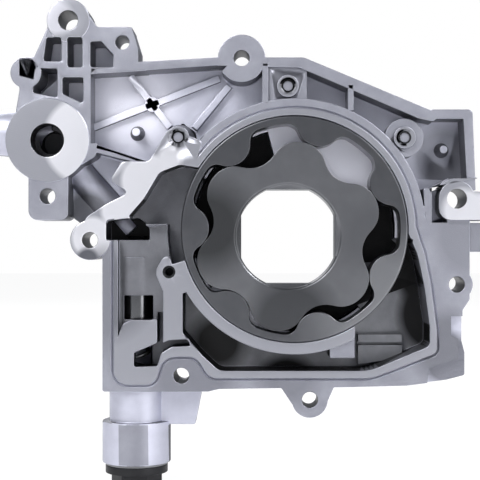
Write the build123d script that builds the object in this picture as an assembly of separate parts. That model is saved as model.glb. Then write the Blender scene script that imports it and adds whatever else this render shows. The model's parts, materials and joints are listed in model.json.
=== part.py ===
from build123d import *
from collections import namedtuple
import math
import os

# Engine oil pump with a rotor set driven by the crankshaft nose, open at its mating face.
# Seen from the engine block, X runs to the right and Z up. Y runs from the mating face into
# the pump, so a depth is a distance behind that face. The origin is where the crankshaft axis
# meets the mating face. All sizes are in millimetres and all angles in degrees.

# How far a cut runs past the face that it opens, and how far joined bodies run into each other
CUT_PAST = 1.0
JOIN = 1.0

# Rotor set
LOBES = 6
TOOTH_PITCH_RADIUS = 45.5
TOOTH_RADIUS = 9.5
TOOTH_FILLET = 5.0
ECCENTRICITY = 4.2
ECCENTRIC_ANGLE = 48.0
INNER_TURN = 3.5
TIP_CLEARANCE = 0.08
ARCS_PER_LOBE = 12
ROTOR_THICKNESS = 13.0
ROTOR_FACE_CLEARANCE = 0.05
ROTOR_CHAMFER = 0.6
OUTER_ROTOR_WALL = 3.35
POCKET_CLEARANCE = 0.1
DRIVE_BORE_RADIUS = 21.8
DRIVE_FLATS = 39.6
DRIVE_CHAMFER = 0.8

# Depths of the casting behind the mating face
FLANGE_DROP = 0.6
PANEL_DEPTH = 15.0
WEB_THICKNESS = 4.5
WALL = 3.0
PORT_DEPTH = 20.0
BODY_DEPTH = 24.0
BRACKET_DEPTH = 21.0
BRACKET_POCKET_DEPTH = 18.0
LEFT_FLOOR_DEPTH = 4.5
CHANNEL_DEPTH = 15.0
RELIEF_PORT_DEPTH = 12.0
OUTLET_BOSS_DEPTH = 26.0
ARM_WEB_DROP = 2.6

# Ring round the rotors and the groove round the rim
RING_WALL = 4.8
RIM_WIDTH = 2.9
GROOVE_WIDTH = 0.9
GROOVE_DEPTH = 0.8
FLANGE_BAND = 3.4
PORT_INNER_RADIUS = 30.5
PORT_LAND = 4.4
RING_WALL_END_X = 28.1
PORT_MOUTH_INSET = 6.0
SUCTION_PORT = (-110, 25)
PRESSURE_PORT = (105, 215)
SUCTION_MOUTH = (-50, -5)
PRESSURE_MOUTH = (150, 196)

# Crankshaft passage and seal hub on the far side
SEAL_RADIUS = 31.0
SEAL_WIDTH = 7.5
SEAL_SECTION = 8.0
CRANK_CLEARANCE = 1.5
SEAL_CASE_THICKNESS = 1.0
HUB_WALL = 5.0
HUB_DEPTH = 31.0
GARTER_RADIUS = 0.8
SEAL_CASE_RIM = 3.0
LIP_COVER = 1.5
LIP_ARM = 3.2
LIP_ARM_THICKNESS = 2.0

# Relief valve
VALVE_X = -65.0
VALVE_DEPTH = 15.0
VALVE_TUBE_RADIUS = 11.7
VALVE_TUBE_TOP = -8.7
VALVE_COLLAR_RADIUS = 14.7
VALVE_COLLAR_TOP = -79.0
VALVE_TUBE_END = -96.8
PISTON_RADIUS = 7.5
PISTON_CLEARANCE = 0.02
PISTON_LENGTH = 24.0
PISTON_WALL = 1.2
PISTON_CROWN = 3.0
PISTON_STOP_Z = -20.0
FEED_RADIUS = 5.0
WINDOW_SIZE = (12.3, 10.2)
WINDOW_PLACE = (1.85, -30.0)
GUSSET_THICKNESS = 8.0
SPRING_RADIUS = 5.2
SPRING_WIRE = 1.8
SPRING_TURNS = 8
SPRING_RUNS_PER_TURN = 16
PLUG_FLANGE_RADIUS = 13.4
PLUG_FLANGE_THICKNESS = 3.5
PLUG_SHANK_RADIUS = 9.9
PLUG_SHANK_LENGTH = 11.0
PLUG_CUP_DEPTH = 6.0
PLUG_THREAD_RUNOUT = 1.0
PLUG_HEX = 19.0
PLUG_HEX_HEIGHT = 6.0
PLUG_CUP_RADIUS = 7.0
WASHER_THICKNESS = 1.0
THREAD_CLEARANCE = 0.1

# Gallery spigot at the upper left
GALLERY_DEPTH = 15.0
GALLERY_Z = 44.5
GALLERY_RADIUS = 5.0
GALLERY_START = (-67.5, 2.5)
OUTLET_STEP_DEPTH = 11.0
OUTLET_BORE_DEPTH = 21.5
BRIDGE_DEPTH = 16.5
BRIDGE_BORE_RADIUS = 3.5
SPIGOT_RADIUS = 9.0
SPIGOT_ROOT_RADIUS = 12.0
SPIGOT_END_X = -129.0
GALLERY_PLUG_RADIUS = 8.5
GALLERY_PLUG_HEX = 14.0
GALLERY_PLUG_FLANGE = 2.0
GALLERY_PLUG_HEAD = 5.0
GALLERY_PLUG_SHANK = 8.0
GALLERY_PLUG_SHANK_RADIUS = 6.0

# Bosses and screw holes
Boss = namedtuple("Boss", "centre radius bore")
TOP_LEFT_BOSS = Boss((-92.4, 90.9), 9.0, 4.1)
TOP_BOSS = Boss((-19.5, 75.0), 10.0, 3.3)
LEFT_BOSS = Boss((-83.2, -1.5), 8.4, 3.3)
OUTLET_BOSS = Boss((-101.2, 40.5), 17.6, 7.0)
BOTTOM_LUG = Boss((9.2, -68.7), 7.6, 3.3)
RIGHT_BOSS = Boss((71.0, -20.2), 6.8, 3.3)
ARM_BOSS = Boss((71.0, 15.9), 8.8, 4.2)
ARM_REACH = 10.0
PLAIN_HOLES = [((-69.7, 81.7), 3.0), ((-101.2, 17.0), 3.3), ((-44.9, -58.6), 3.3)]
BRACKET_STUB = ((-110.5, 68.9), 10.0, 13.0)
COVER_SCREWS = [(-46.2, 41.8), (0.0, 63.3), (49.1, 41.6), (-50.0, -14.9)]
COVER_SCREW_RADIUS = 2.1
COVER_SCREW_BOSS = 4.0
COVER_SCREW_DEPTH = 14.0
RIB_HEIGHT = 3.0

# Sizes worked out from the ones above
TEETH = LOBES + 1
OUTER_TURN = INNER_TURN * LOBES / TEETH
ROTOR_CENTRE = (
    ECCENTRICITY * math.cos(math.radians(ECCENTRIC_ANGLE)),
    ECCENTRICITY * math.sin(math.radians(ECCENTRIC_ANGLE)),
)
LOBE_TIP_RADIUS = TOOTH_PITCH_RADIUS + ECCENTRICITY - TOOTH_RADIUS
CHAMBER_RADIUS = LOBE_TIP_RADIUS + ECCENTRICITY + TIP_CLEARANCE
OUTER_ROTOR_RADIUS = CHAMBER_RADIUS + OUTER_ROTOR_WALL
POCKET_RADIUS = OUTER_ROTOR_RADIUS + POCKET_CLEARANCE
POCKET_DEPTH = ROTOR_THICKNESS + 2 * ROTOR_FACE_CLEARANCE
RING_RADIUS = POCKET_RADIUS + RING_WALL
GROOVE_RADIUS = POCKET_RADIUS + RIM_WIDTH
FLANGE_RADIUS = GROOVE_RADIUS + GROOVE_WIDTH + FLANGE_BAND
PORT_OUTER_RADIUS = POCKET_RADIUS - PORT_LAND
SEAL_LIP_RADIUS = SEAL_RADIUS - SEAL_SECTION
CRANK_PASSAGE_RADIUS = SEAL_LIP_RADIUS + CRANK_CLEARANCE


def disc(centre, radius):
    """Flat disc in the X and Z directions."""
    return Pos(centre[0], centre[1]) * Circle(radius)


def outline(*corners):
    """Flat closed outline from corners of x, z and corner radius."""
    points = [(x, z) for x, z, radius in corners]
    return make_face(FilletPolyline(points, radius=[radius for x, z, radius in corners], close=True))


def slab(face, front, back):
    """Solid between two depths from a flat outline."""
    return extrude(Plane.XZ.offset(-back) * face, amount=back - front)


def rod(start, end, radius, end_radius=None):
    """Round rod, or a cone, between two points."""
    axis = Vector(*end) - Vector(*start)
    place = Plane(origin=start, z_dir=axis)
    seat = (Align.CENTER, Align.CENTER, Align.MIN)
    if end_radius is None:
        return place * Cylinder(radius, axis.length, align=seat)
    return place * Cone(radius, end_radius, axis.length, align=seat)


def sector(centre, inner, outer, start, end):
    """Flat part of a ring between two angles."""
    reach = 2 * outer
    middle = (start + end) / 2
    fan = [centre]
    for angle in (start, (start + middle) / 2, middle, (middle + end) / 2, end):
        bearing = math.radians(angle)
        fan.append((centre[0] + reach * math.cos(bearing), centre[1] + reach * math.sin(bearing)))
    wedge = make_face(Polyline(*fan, close=True))
    return (disc(centre, outer) - disc(centre, inner)) & wedge


# Outlines of the casting, in the X and Z directions


def groove_outline():
    """Inner edge of the groove that follows the rim of the cavities."""
    cavities = outline(
        (-73.3, 9.0, 1.0),
        (-73.3, -62.4, 6.3),
        (-56.0, -62.4, 5.0),
        (-52.5, -50.6, 7.0),
        (-38.4, -50.6, 6.0),
        (-33.0, -59.6, 6.0),
        (35.3, -59.6, 20.0),
        (62.6, -49.0, 3.0),
        (62.6, -39.3, 8.0),
        (60.1, -20.8, 20.0),
        (57.5, -7.8, 20.0),
        (53.0, 6.0, 4.0),
        (0.0, 10.0, 0.0),
        (-39.5, 32.0, 2.0),
        (-55.5, 29.6, 3.0),
        (-64.0, 12.5, 3.0),
    )
    return cavities + disc(ROTOR_CENTRE, GROOVE_RADIUS)


def body_outline():
    """Thick body that carries the rotors and the cavities."""
    block = outline(
        (-78.1, 9.0, 1.0),
        (-78.1, -65.3, 1.0),
        (-33.6, -65.3, 3.0),
        (-29.0, -64.2, 3.0),
        (26.9, -63.4, 3.0),
        (50.4, -62.8, 3.0),
        (68.0, -53.0, 3.0),
        (67.0, -39.0, 10.0),
        (63.5, -16.0, 20.0),
        (61.5, -4.0, 20.0),
        (56.0, 14.0, 5.0),
        (0.0, 10.0, 0.0),
        (-48.0, 38.0, 2.0),
    )
    return block + disc(ROTOR_CENTRE, FLANGE_RADIUS)


def white_band_outline():
    """Wide machined band from the left boss up to the ring."""
    return outline(
        (-87.0, 2.0, 0.0),
        (-84.8, 8.2, 3.0),
        (-76.4, 13.7, 6.0),
        (-66.6, 18.6, 1.5),
        (-75.0, 23.4, 2.0),
        (-69.7, 31.7, 3.0),
        (-58.5, 31.5, 3.0),
        (-50.0, 46.0, 3.0),
        (-36.0, 40.0, 2.0),
        (-39.5, 28.0, 3.0),
        (-45.0, 30.2, 6.0),
        (-54.0, 28.0, 6.0),
        (-60.5, 17.0, 6.0),
        (-66.0, 8.4, 6.0),
        (-76.4, 6.9, 1.5),
        (-76.4, -6.0, 1.0),
    )


def bracket_outline():
    """Bracket at the upper left, without its round bosses."""
    return outline(
        (-101.2, 88.0, 0.0),
        (-84.5, 94.5, 4.0),
        (-80.5, 88.2, 2.0),
        (-64.0, 88.2, 5.0),
        (-59.6, 79.0, 3.0),
        (-59.6, 72.5, 2.0),
        (-80.5, 70.0, 0.0),
        (-80.5, 34.0, 3.0),
        (-97.0, 24.0, 0.0),
        (-115.0, 50.0, 3.0),
        (-113.0, 61.5, 2.0),
        (-113.0, 75.6, 6.0),
        (-106.8, 75.6, 0.0),
    )


def panel_outline():
    """Outer edge of the ribbed panel above the ring."""
    return outline(
        (-84.8, 71.0, 0.0),
        (-59.6, 73.7, 0.0),
        (-30.0, 75.4, 2.0),
        (6.7, 75.4, 6.0),
        (60.5, 53.0, 1.0),
        (60.5, 10.0, 1.0),
        (0.0, 10.0, 0.0),
        (-60.0, 30.0, 0.0),
        (-84.8, 36.5, 0.0),
    )


def panel_recess_outline():
    """Inner edge of the walls round the ribbed panel."""
    return outline(
        (-81.9, 70.0, 1.5),
        (-59.6, 70.0, 1.5),
        (-30.0, 72.0, 1.5),
        (5.0, 71.0, 3.0),
        (55.0, 49.7, 1.5),
        (57.5, 45.0, 1.5),
        (57.5, 12.0, 1.5),
        (0.0, 12.0, 0.0),
        (-59.0, 31.5, 0.0),
        (-81.1, 39.0, 1.5),
    )


def corner_web_outline():
    """Web between the outlet boss, the panel and the machined band."""
    return outline(
        (-96.0, 30.0, 0.0),
        (-92.4, 8.0, 2.0),
        (-84.0, 2.0, 0.0),
        (-66.0, 12.0, 0.0),
        (-58.0, 31.0, 0.0),
        (-81.0, 42.0, 0.0),
    )


def box_outline():
    """Open box at the right of the ring."""
    return outline(
        (60.0, 53.5, 1.0),
        (77.7, 53.5, 2.0),
        (79.0, 19.5, 1.0),
        (60.0, 19.5, 1.0),
    )


def right_flank_outline():
    """Flange to the right of the cavities, from the arm down to the lower corner."""
    return outline(
        (57.0, 20.0, 0.0),
        (76.5, 20.0, 1.0),
        (76.5, -26.5, 2.0),
        (73.5, -31.0, 2.0),
        (73.5, -44.0, 2.0),
        (74.8, -49.0, 2.0),
        (74.8, -58.6, 1.0),
        (67.0, -60.6, 2.0),
        (50.0, -62.8, 1.0),
        (48.0, -56.0, 0.0),
        (60.0, -30.0, 0.0),
    )


def ring_face():
    """Ring wall between the rotors and the suction cavity."""
    kept = Pos(RING_WALL_END_X - 2 * RING_RADIUS, 0) * Rectangle(4 * RING_RADIUS, 4 * RING_RADIUS)
    wall = disc(ROTOR_CENTRE, RING_RADIUS) & kept
    return wall + disc(ROTOR_CENTRE, POCKET_RADIUS - JOIN)


def suction_outline():
    """Deep suction cavity below and to the right of the ring."""
    cavity = outline(
        (-44.3, -24.0, 0.0),
        (-44.3, -40.5, 2.0),
        (-36.0, -50.0, 4.0),
        (-29.0, -56.5, 6.0),
        (34.4, -56.5, 20.0),
        (59.6, -46.0, 3.0),
        (59.6, -37.6, 8.0),
        (57.3, -20.8, 20.0),
        (54.6, -7.8, 20.0),
        (49.5, 4.0, 1.0),
        (20.0, 0.0, 0.0),
    )
    return cavity - ring_face()


def left_floor_outline():
    """Shallow pressure floor at the left, open to the rotors at its right side."""
    return outline(
        (-71.4, 3.0, 0.0),
        (-71.4, -42.0, 0.0),
        (-69.4, -36.5, 3.0),
        (-64.5, -34.7, 1.0),
        (-52.5, -34.7, 1.0),
        (-52.5, -23.0, 1.0),
        (-56.0, -14.9, 5.0),
        (-52.0, -8.0, 3.0),
        (-40.0, -10.7, 0.0),
        (-40.0, 6.0, 0.0),
    )


def outlet_channel_outline():
    """Channel from the pressure port to the gallery mouth."""
    return outline(
        (-67.2, 8.2, 1.0),
        (-60.5, 16.0, 5.0),
        (-54.0, 27.0, 5.0),
        (-45.4, 30.2, 5.0),
        (-37.0, 28.8, 0.0),
        (-30.0, 10.0, 0.0),
        (-42.0, 5.2, 0.0),
        (-62.0, 5.2, 1.0),
    )


def gallery_mouth_outline():
    """Deep pocket where the outlet gallery starts."""
    return outline(
        (-76.4, 6.5, 1.5),
        (-64.0, 8.0, 1.5),
        (-58.5, 4.0, 3.0),
        (-58.5, -1.5, 0.5),
        (-76.4, -1.5, 0.5),
    )


def box_recess_outline():
    """Inner edge of the walls of the open box."""
    return outline(
        (62.5, 49.5, 1.0),
        (73.8, 49.5, 1.0),
        (75.2, 24.0, 1.0),
        (62.5, 24.0, 1.0),
    )


def lug_outline():
    """Upright lug under the outlet boss."""
    return outline((-109.2, 40.0, 0.0), (-92.4, 40.0, 0.0), (-92.4, 6.9, 3.0), (-109.2, 6.9, 4.0))


def foot_outline():
    """Foot that carries the lug at the bottom edge."""
    return outline((-4.0, -62.0, 0.0), (20.0, -62.0, 0.0), (16.0, -71.0, 2.0), (2.0, -71.0, 2.0))


def arm_web_outline():
    """Plate under the arm at the right."""
    return outline((62.0, 7.0, 1.0), (84.0, 7.0, 2.0), (84.0, -6.5, 2.0), (62.0, -6.5, 1.0))


def gusset_outline():
    """Gusset between the valve collar and the bottom edge."""
    return outline((-68.0, -60.0, 0.0), (-35.5, -60.0, 0.0), (-39.5, -80.5, 1.0), (-68.0, -80.5, 0.0))


def relief_port_outlines():
    """Openings beside the relief valve tube: slot, drain port and the way to the suction cavity."""
    slot = outline((-55.0, -32.1, 0.5), (-52.5, -32.1, 0.5), (-52.5, -47.0, 0.5), (-55.0, -47.0, 0.5))
    drain = outline(
        (-64.7, -48.9, 0.8),
        (-54.5, -44.5, 0.5),
        (-52.5, -46.5, 0.5),
        (-55.0, -54.5, 0.8),
        (-64.7, -54.8, 0.8),
    )
    way = outline(
        (-56.0, -46.0, 0.5),
        (-50.0, -43.6, 2.0),
        (-42.0, -43.2, 0.5),
        (-41.0, -46.0, 0.5),
        (-49.0, -46.4, 2.0),
        (-55.0, -50.0, 0.5),
    )
    return slot + drain + way


def port_outline(start, end):
    """Kidney-shaped port in the floor under the rotors."""
    kidney = sector(ROTOR_CENTRE, 0.1, PORT_OUTER_RADIUS, start, end)
    return kidney - disc((0, 0), PORT_INNER_RADIUS)


# Parts of the casting


def bracket_pockets():
    """Lightening pockets in the upper left bracket."""
    pockets = [
        outline((-101.6, 83.8, 1.0), (-95.3, 83.8, 1.0), (-95.3, 73.7, 1.0), (-103.0, 73.7, 1.0)),
        outline((-92.8, 83.8, 1.0), (-86.5, 83.8, 1.0), (-86.5, 71.2, 1.0), (-92.8, 71.2, 1.0)),
        outline(
            (-83.2, 82.1, 1.0),
            (-78.5, 82.1, 1.0),
            (-73.5, 76.5, 1.0),
            (-73.5, 71.2, 1.0),
            (-83.2, 71.2, 1.0),
        ),
        outline((-105.8, 70.8, 1.0), (-97.0, 70.8, 1.0), (-97.0, 58.5, 1.0), (-107.5, 60.5, 1.0)),
        outline((-94.9, 67.0, 1.0), (-86.1, 67.0, 1.0), (-86.1, 56.0, 1.0), (-94.9, 60.0, 1.0)),
    ]
    return slab(Sketch() + pockets, -CUT_PAST, BRACKET_POCKET_DEPTH)


def panel_ribs():
    """Low ribs crossing on the panel."""
    lines = [
        ((-80.0, 55.0), (-27.0, 72.0)),
        ((-66.0, 68.5), (-49.5, 46.5)),
        ((-25.0, 65.0), (-40.0, 46.5)),
    ]
    ribs = []
    for start, end in lines:
        run = Vector(*end) - Vector(*start)
        middle = Vector(*start) + run / 2
        slope = math.degrees(math.atan2(run.Y, run.X))
        bar = Pos(middle.X, middle.Y) * Rot(0, 0, slope) * Rectangle(run.length, WALL)
        ribs.append(slab(bar, PANEL_DEPTH - RIB_HEIGHT, PANEL_DEPTH + JOIN))
    return ribs


def tray(outer, inner, floor_depth):
    """Open tray: a wall round a floor at the given depth."""
    back = floor_depth + WEB_THICKNESS
    return [slab(outer - inner, FLANGE_DROP, back), slab(outer, floor_depth, back)]


def boss_blanks():
    """Round bosses with the arm, the lugs and the foot that carry them."""
    stub_centre, stub_length, stub_width = BRACKET_STUB
    stub = Pos(*stub_centre) * SlotCenterToCenter(stub_length, stub_width)
    arm_middle = (ARM_BOSS.centre[0] + ARM_REACH / 2, ARM_BOSS.centre[1])
    arm = Pos(*arm_middle) * SlotCenterToCenter(ARM_REACH, 2 * ARM_BOSS.radius)
    blanks = [
        slab(disc(TOP_LEFT_BOSS.centre, TOP_LEFT_BOSS.radius), 0, BRACKET_DEPTH),
        slab(disc(TOP_BOSS.centre, TOP_BOSS.radius), FLANGE_DROP, PANEL_DEPTH + WEB_THICKNESS),
        slab(disc(LEFT_BOSS.centre, LEFT_BOSS.radius), 0, BODY_DEPTH),
        slab(disc(OUTLET_BOSS.centre, OUTLET_BOSS.radius), 0, OUTLET_BOSS_DEPTH),
        slab(disc(RIGHT_BOSS.centre, RIGHT_BOSS.radius), FLANGE_DROP, BODY_DEPTH),
        slab(foot_outline() + disc(BOTTOM_LUG.centre, BOTTOM_LUG.radius), FLANGE_DROP, PANEL_DEPTH),
        slab(lug_outline(), FLANGE_DROP, BRACKET_DEPTH),
        slab(stub, FLANGE_DROP, BRACKET_DEPTH),
        slab(arm, 0, BODY_DEPTH),
        slab(arm_web_outline(), ARM_WEB_DROP, PANEL_DEPTH),
    ]
    for centre in COVER_SCREWS:
        blanks.append(slab(disc(centre, COVER_SCREW_BOSS), 0, BODY_DEPTH))
    return blanks


def housing_blank():
    """Casting before its cavities and holes are cut."""
    solids = [
        slab(groove_outline(), 0, BODY_DEPTH),
        slab(body_outline(), FLANGE_DROP, BODY_DEPTH),
        slab(white_band_outline(), 0, BODY_DEPTH),
        slab(bracket_outline(), FLANGE_DROP, BRACKET_DEPTH),
        slab(right_flank_outline(), FLANGE_DROP, PANEL_DEPTH),
        *tray(panel_outline(), panel_recess_outline(), PANEL_DEPTH),
        *tray(box_outline(), box_recess_outline(), PANEL_DEPTH),
        slab(corner_web_outline(), PANEL_DEPTH, PANEL_DEPTH + WEB_THICKNESS),
        *panel_ribs(),
        *boss_blanks(),
        *valve_tube_blank(),
        spigot_blank(),
        gallery_bridge(),
        slab(disc((0, 0), SEAL_RADIUS + HUB_WALL), BODY_DEPTH - JOIN, HUB_DEPTH),
    ]
    return Part() + solids


def valve_line(*heights):
    """Points on the axis of the relief valve."""
    return [(VALVE_X, VALVE_DEPTH, height) for height in heights]


def valve_tube_blank():
    """Outside of the relief valve tube with its collar and gusset."""
    gusset_front = VALVE_DEPTH - GUSSET_THICKNESS / 2
    return [
        rod(*valve_line(VALVE_TUBE_TOP, VALVE_TUBE_END), VALVE_TUBE_RADIUS),
        rod(*valve_line(VALVE_COLLAR_TOP, VALVE_TUBE_END), VALVE_COLLAR_RADIUS),
        slab(gusset_outline(), gusset_front, gusset_front + GUSSET_THICKNESS),
    ]


def gallery_line(*places):
    """Points on the axis of the gallery in the spigot."""
    return [(x, GALLERY_DEPTH, GALLERY_Z) for x in places]


def bridge_line():
    """Ends of the drilling between the gallery mouth and the outlet boss."""
    start = (GALLERY_START[0], BRIDGE_DEPTH, GALLERY_START[1])
    end = (OUTLET_BOSS.centre[0], BRIDGE_DEPTH, OUTLET_BOSS.centre[1])
    return start, end


def spigot_blank():
    """Tapered spigot that the gallery is drilled through."""
    return rod(*gallery_line(OUTLET_BOSS.centre[0], SPIGOT_END_X), SPIGOT_ROOT_RADIUS, SPIGOT_RADIUS)


def gallery_bridge():
    """Cast tube between the gallery mouth and the outlet boss."""
    return rod(*bridge_line(), BRIDGE_BORE_RADIUS + WALL)


def housing_cavities():
    """Everything that is cut from the front of the casting before the valve tube goes in."""
    mouth_radius = PORT_INNER_RADIUS + PORT_MOUTH_INSET
    suction_mouth = sector(ROTOR_CENTRE, mouth_radius, POCKET_RADIUS + 2 * JOIN, *SUCTION_MOUTH)
    pressure_mouth = sector(ROTOR_CENTRE, mouth_radius, RING_RADIUS + JOIN, *PRESSURE_MOUTH)
    groove = offset(groove_outline(), GROOVE_WIDTH) - groove_outline() - white_band_outline()
    left_floor = left_floor_outline() - disc(COVER_SCREWS[3], COVER_SCREW_BOSS)
    return [
        slab(disc(ROTOR_CENTRE, POCKET_RADIUS), -CUT_PAST, POCKET_DEPTH),
        slab(port_outline(*SUCTION_PORT), POCKET_DEPTH - CUT_PAST, PORT_DEPTH),
        slab(port_outline(*PRESSURE_PORT), POCKET_DEPTH - CUT_PAST, PORT_DEPTH),
        slab(suction_mouth, -CUT_PAST, PORT_DEPTH),
        slab(pressure_mouth, -CUT_PAST, CHANNEL_DEPTH),
        slab(suction_outline(), -CUT_PAST, PORT_DEPTH),
        slab(left_floor, -CUT_PAST, LEFT_FLOOR_DEPTH),
        slab(outlet_channel_outline(), -CUT_PAST, CHANNEL_DEPTH),
        slab(gallery_mouth_outline(), -CUT_PAST, BRACKET_POCKET_DEPTH),
        slab(groove, -CUT_PAST, FLANGE_DROP + GROOVE_DEPTH),
        bracket_pockets(),
    ]


def screw_holes():
    """Holes for the screws and pins, seen from the front."""
    bosses = (TOP_LEFT_BOSS, TOP_BOSS, LEFT_BOSS, BOTTOM_LUG, RIGHT_BOSS, ARM_BOSS)
    through = [(boss.centre, boss.bore) for boss in bosses] + PLAIN_HOLES
    holes = [slab(disc(centre, radius), -CUT_PAST, HUB_DEPTH) for centre, radius in through]
    for centre in COVER_SCREWS:
        holes.append(slab(disc(centre, COVER_SCREW_RADIUS), -CUT_PAST, COVER_SCREW_DEPTH))
    return holes


def crank_bores():
    """Passage for the crankshaft and the bore that holds its seal."""
    return [
        slab(disc((0, 0), CRANK_PASSAGE_RADIUS), -CUT_PAST, HUB_DEPTH + CUT_PAST),
        slab(disc((0, 0), SEAL_RADIUS), HUB_DEPTH - SEAL_WIDTH, HUB_DEPTH + CUT_PAST),
    ]


def valve_bores():
    """Bores, window and ports of the relief valve."""
    open_end = VALVE_TUBE_END - CUT_PAST
    thread_top = VALVE_TUBE_END - WASHER_THICKNESS + PLUG_SHANK_LENGTH + PLUG_THREAD_RUNOUT
    window = Pos(VALVE_X + WINDOW_PLACE[0], WINDOW_PLACE[1]) * RectangleRounded(*WINDOW_SIZE, 0.5)
    return [
        rod(*valve_line(PISTON_STOP_Z, open_end), PISTON_RADIUS),
        rod(*valve_line(0.0, PISTON_STOP_Z - JOIN), FEED_RADIUS),
        rod(*valve_line(thread_top, open_end), PLUG_SHANK_RADIUS + THREAD_CLEARANCE),
        slab(window, -CUT_PAST, VALVE_DEPTH),
        slab(relief_port_outlines(), -CUT_PAST, RELIEF_PORT_DEPTH),
    ]


def outlet_bores():
    """Stepped outlet, the gallery in the spigot and the drilling that feeds them."""
    outlet = OUTLET_BOSS.centre
    open_end = SPIGOT_END_X - CUT_PAST
    thread_end = SPIGOT_END_X - WASHER_THICKNESS + GALLERY_PLUG_SHANK + PLUG_THREAD_RUNOUT
    return [
        slab(disc(outlet, OUTLET_BOSS.bore), -CUT_PAST, OUTLET_STEP_DEPTH),
        slab(disc(outlet, GALLERY_RADIUS), -CUT_PAST, OUTLET_BORE_DEPTH),
        rod(*gallery_line(outlet[0], open_end), GALLERY_RADIUS),
        rod(*gallery_line(thread_end, open_end), GALLERY_PLUG_SHANK_RADIUS + THREAD_CLEARANCE),
        rod(*bridge_line(), BRIDGE_BORE_RADIUS),
    ]


def pump_housing():
    """Die-cast housing."""
    casting = housing_blank() - housing_cavities()
    casting += valve_tube_blank()[0]
    return casting - (screw_holes() + crank_bores() + valve_bores() + outlet_bores())


# Rotors


def lobe_point(turn):
    """Point of the inner rotor's outline, where the rolling tooth touches it."""
    fast = TEETH * turn
    x = TOOTH_PITCH_RADIUS * math.cos(turn) + ECCENTRICITY * math.cos(fast)
    z = TOOTH_PITCH_RADIUS * math.sin(turn) + ECCENTRICITY * math.sin(fast)
    normal_x = TOOTH_PITCH_RADIUS * math.cos(turn) + TEETH * ECCENTRICITY * math.cos(fast)
    normal_z = TOOTH_PITCH_RADIUS * math.sin(turn) + TEETH * ECCENTRICITY * math.sin(fast)
    reach = (TOOTH_RADIUS + TIP_CLEARANCE) / math.hypot(normal_x, normal_z)
    return x - reach * normal_x, z - reach * normal_z


def inner_profile():
    """Lobed outline of the inner rotor, as short arcs through the points of the rolling tooth."""
    count = LOBES * ARCS_PER_LOBE
    step = 2 * math.pi / count
    arcs = []
    for number in range(count):
        start = number * step
        end = (number + 1) % count * step
        arcs.append(ThreePointArc(lobe_point(start), lobe_point(start + step / 2), lobe_point(end)))
    return make_face(arcs)


def inner_rotor():
    """Inner rotor with its drive bore."""
    front = ROTOR_FACE_CLEARANCE
    back = front + ROTOR_THICKNESS
    turn = ECCENTRIC_ANGLE + 180 / LOBES + INNER_TURN
    bore = Circle(DRIVE_BORE_RADIUS) & Rectangle(DRIVE_FLATS, DRIVE_FLATS)
    blank = slab(Rot(0, 0, turn) * inner_profile() - bore, front, back)
    mouth_radius = DRIVE_BORE_RADIUS + DRIVE_CHAMFER
    return blank - rod((0, front, 0), (0, front + DRIVE_CHAMFER, 0), mouth_radius, DRIVE_BORE_RADIUS)


def polar(radius, bearing):
    """Point at a distance and a bearing from the middle."""
    return Vector(radius * math.cos(math.radians(bearing)), radius * math.sin(math.radians(bearing)))


def arc_about(centre, start, end):
    """Short arc from one point to another about a centre."""
    radius = (start - centre).length
    middle = centre + ((start - centre) + (end - centre)).normalized() * radius
    return ThreePointArc(start, middle, end)


def tooth_ring_profile():
    """Inner outline of the outer rotor: round teeth joined to the chambers by fillets."""
    fillet_reach = CHAMBER_RADIUS - TOOTH_FILLET
    tooth_reach = TOOTH_RADIUS + TOOTH_FILLET
    squares = fillet_reach**2 + TOOTH_PITCH_RADIUS**2 - tooth_reach**2
    half_foot = math.degrees(math.acos(squares / (2 * fillet_reach * TOOTH_PITCH_RADIUS)))
    pitch = 360 / TEETH
    arcs = []
    for tooth in range(TEETH):
        bearing = tooth * pitch
        centre = polar(TOOTH_PITCH_RADIUS, bearing)
        tip = polar(TOOTH_PITCH_RADIUS - TOOTH_RADIUS, bearing)
        feet = []
        for side in (-half_foot, half_foot):
            fillet_centre = polar(fillet_reach, bearing + side)
            root = polar(CHAMBER_RADIUS, bearing + side)
            flank = centre + (fillet_centre - centre).normalized() * TOOTH_RADIUS
            feet.append((root, flank, arc_about(fillet_centre, root, flank)))
        arcs += [feet[0][2], ThreePointArc(feet[0][1], tip, feet[1][1]), feet[1][2]]
        next_root = polar(CHAMBER_RADIUS, bearing + pitch - half_foot)
        arcs.append(ThreePointArc(feet[1][0], polar(CHAMBER_RADIUS, bearing + pitch / 2), next_root))
    return make_face(arcs)


def outer_rotor():
    """Outer rotor with its inner teeth."""
    front = ROTOR_FACE_CLEARANCE
    back = front + ROTOR_THICKNESS
    turn = ECCENTRIC_ANGLE + 180 + OUTER_TURN
    ring = slab(Circle(OUTER_ROTOR_RADIUS), front, back)
    ring = chamfer(ring.edges(), ROTOR_CHAMFER)
    ring -= slab(Rot(0, 0, turn) * tooth_ring_profile(), front - CUT_PAST, back + CUT_PAST)
    return Pos(ROTOR_CENTRE[0], 0, ROTOR_CENTRE[1]) * ring


# Relief valve


def relief_valve_piston():
    """Hollow piston, closed at its top, up against its stop."""
    top = PISTON_STOP_Z - PISTON_CLEARANCE
    radius = PISTON_RADIUS - PISTON_CLEARANCE
    bottom = top - PISTON_LENGTH
    piston = rod(*valve_line(top, bottom), radius)
    return piston - rod(*valve_line(top - PISTON_CROWN, bottom - CUT_PAST), radius - PISTON_WALL)


def spring_seats():
    """Heights of the spring's two ends."""
    top = PISTON_STOP_Z - PISTON_CLEARANCE - PISTON_CROWN
    bottom = VALVE_TUBE_END - WASHER_THICKNESS + PLUG_SHANK_LENGTH - PLUG_CUP_DEPTH
    return top, bottom


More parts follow.
